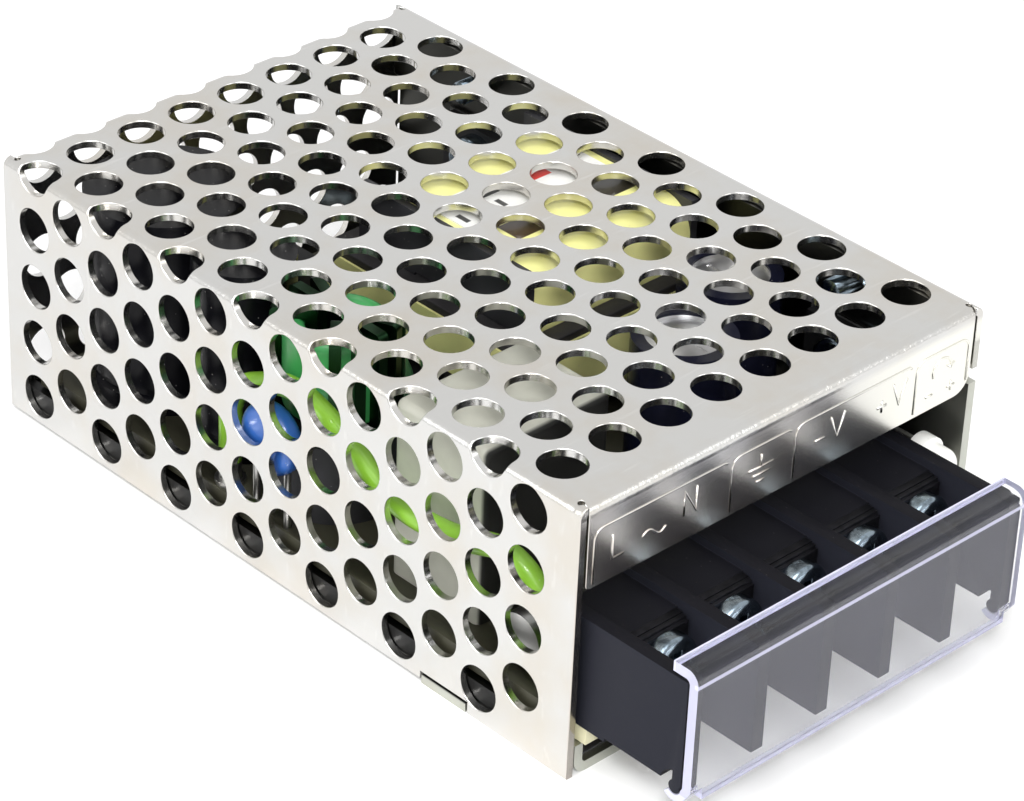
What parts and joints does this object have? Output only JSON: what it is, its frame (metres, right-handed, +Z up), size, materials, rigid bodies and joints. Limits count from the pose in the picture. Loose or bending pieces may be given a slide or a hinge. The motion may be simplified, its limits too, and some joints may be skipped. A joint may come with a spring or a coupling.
{
  "type": "mesh case switching power supply",
  "caption": "Enclosed switching power supply: folded perforated steel cover on a tray, barrier terminals with a flip-open clear cover, parts on a board inside.",
  "frame": {"origin": "middle of the case on its underside", "axes": "+Z up, -Y towards the terminals, +X to the right seen from the terminals"},
  "size_m": [0.051, 0.091, 0.028],
  "materials": {
    "cover_steel": "satin nickel-plated sheet",
    "chassis_steel": "dull zinc-plated sheet",
    "screw_steel": "bright zinc",
    "contact_plate": "bright tin plate",
    "block_plastic": "moulded, low gloss",
    "clear_plastic": "hazy clear plastic with scuffs",
    "board_laminate": "cream laminate",
    "film": "matt film",
    "tin": "tinned copper",
    "ferrite": "dark ferrite",
    "bobbin_plastic": "moulded",
    "tape_yellow": "polyester tape",
    "label_white": "plain label",
    "can_aluminium": "drawn aluminium",
    "sleeve_black": "shrunk sleeve",
    "sleeve_navy": "shrunk sleeve",
    "capacitor_cream": "moulded box",
    "disc_blue": "dipped resin",
    "disc_green": "dipped resin",
    "choke_green": "coated ring",
    "copper": "enamelled copper",
    "glass": "clear tube",
    "epoxy_black": "moulded epoxy",
    "resistor_tan": "lacquer",
    "pad_grey": "soft pad",
    "rotor_white": "moulded",
    "lamp_milky": "diffusing resin",
    "wire_green": "green and yellow sheath"
  },
  "bodies": {
    "case": {"mesh_cover": "cover_steel", "chassis": "chassis_steel", "cover_screws": "screw_steel", "circuit_board": "board_laminate", "insulating_film": "film", "standoffs": "chassis_steel", "board_screws": "screw_steel", "component_leads": "tin", "terminal_block": "block_plastic", "terminal_contacts": "contact_plate", "transformer_core": "ferrite", "transformer_bobbin": "bobbin_plastic", "transformer_winding": "tape_yellow", "transformer_tape": "tape_yellow", "transformer_label": "label_white", "bulk_capacitor_rear_can": "can_aluminium", "bulk_capacitor_rear_sleeve": "sleeve_black", "bulk_capacitor_front_can": "can_aluminium", "bulk_capacitor_front_sleeve": "sleeve_black", "output_capacitor_near_can": "can_aluminium", "output_capacitor_near_sleeve": "sleeve_navy", "output_capacitor_far_can": "can_aluminium", "output_capacitor_far_sleeve": "sleeve_navy", "line_capacitor": "capacitor_cream", "line_choke_base": "bobbin_plastic", "line_choke_core": "choke_green", "line_choke_windings": "copper", "earth_capacitor_left": "disc_blue", "earth_capacitor_middle": "disc_blue", "thermistor": "disc_green", "fuse_glass": "glass", "fuse_caps": "tin", "bridge_rectifier": "epoxy_black", "optocoupler": "epoxy_black", "control_chip": "epoxy_black", "resistors": "resistor_tan", "switching_transistor": "epoxy_black", "output_diode": "epoxy_black", "insulating_pads": "pad_grey", "device_screws": "screw_steel", "output_choke_core": "ferrite", "output_choke_winding": "copper", "trimmer_body": "epoxy_black", "lamp": "lamp_milky", "earth_wire": "wire_green", "wire_sockets": "tin"},
    "clamp_1": {"terminal_clamp_1": "contact_plate"},
    "screw_1": {"terminal_screw_1": "screw_steel"},
    "clamp_2": {"terminal_clamp_2": "contact_plate"},
    "screw_2": {"terminal_screw_2": "screw_steel"},
    "clamp_3": {"terminal_clamp_3": "contact_plate"},
    "screw_3": {"terminal_screw_3": "screw_steel"},
    "clamp_4": {"terminal_clamp_4": "contact_plate"},
    "screw_4": {"terminal_screw_4": "screw_steel"},
    "clamp_5": {"terminal_clamp_5": "contact_plate"},
    "screw_5": {"terminal_screw_5": "screw_steel"},
    "terminal_lid": {"terminal_cover": "clear_plastic"},
    "adjuster": {"trimmer_rotor": "rotor_white"}
  },
  "joints": [
    {"name": "terminal_lid_hinge", "type": "hinge", "parent": "case", "child": "terminal_lid", "pos_m": [-0.003, -0.0501, 0.00515], "axis": [1, 0, 0], "range_deg": [0, 90]},
    {"name": "adjuster_turn", "type": "hinge", "parent": "case", "child": "adjuster", "pos_m": [0.0209, -0.0364, 0.0092], "axis": [0, -1, 0], "range_deg": [-130, 130]},
    {"name": "clamp_1_travel", "type": "slide", "parent": "case", "child": "clamp_1", "axis": [0, -1, 0], "range_m": [0, 0.002]},
    {"name": "screw_1_turn", "type": "hinge", "parent": "clamp_1", "child": "screw_1", "pos_m": [-0.01925, -0.0435, 0.0124], "axis": [0, -1, 0], "range_deg": [0, 1444]},
    {"name": "clamp_2_travel", "type": "slide", "parent": "case", "child": "clamp_2", "axis": [0, -1, 0], "range_m": [0, 0.002]},
    {"name": "screw_2_turn", "type": "hinge", "parent": "clamp_2", "child": "screw_2", "pos_m": [-0.01115, -0.0435, 0.0124], "axis": [0, -1, 0], "range_deg": [0, 1444]},
    {"name": "clamp_3_travel", "type": "slide", "parent": "case", "child": "clamp_3", "axis": [0, -1, 0], "range_m": [0, 0.002]},
    {"name": "screw_3_turn", "type": "hinge", "parent": "clamp_3", "child": "screw_3", "pos_m": [-0.00304, -0.0435, 0.0124], "axis": [0, -1, 0], "range_deg": [0, 1444]},
    {"name": "clamp_4_travel", "type": "slide", "parent": "case", "child": "clamp_4", "axis": [0, -1, 0], "range_m": [0, 0.002]},
    {"name": "screw_4_turn", "type": "hinge", "parent": "clamp_4", "child": "screw_4", "pos_m": [0.00505, -0.0435, 0.0124], "axis": [0, -1, 0], "range_deg": [0, 1444]},
    {"name": "clamp_5_travel", "type": "slide", "parent": "case", "child": "clamp_5", "axis": [0, -1, 0], "range_m": [0, 0.002]},
    {"name": "screw_5_turn", "type": "hinge", "parent": "clamp_5", "child": "screw_5", "pos_m": [0.01316, -0.0435, 0.0124], "axis": [0, -1, 0], "range_deg": [0, 1444]}
  ],
  "couplings": [
    {"joint": "screw_1_turn", "follows": "clamp_1_travel", "rad_per_m": 12566},
    {"joint": "screw_2_turn", "follows": "clamp_2_travel", "rad_per_m": 12566},
    {"joint": "screw_3_turn", "follows": "clamp_3_travel", "rad_per_m": 12566},
    {"joint": "screw_4_turn", "follows": "clamp_4_travel", "rad_per_m": 12566},
    {"joint": "screw_5_turn", "follows": "clamp_5_travel", "rad_per_m": 12566}
  ]
}
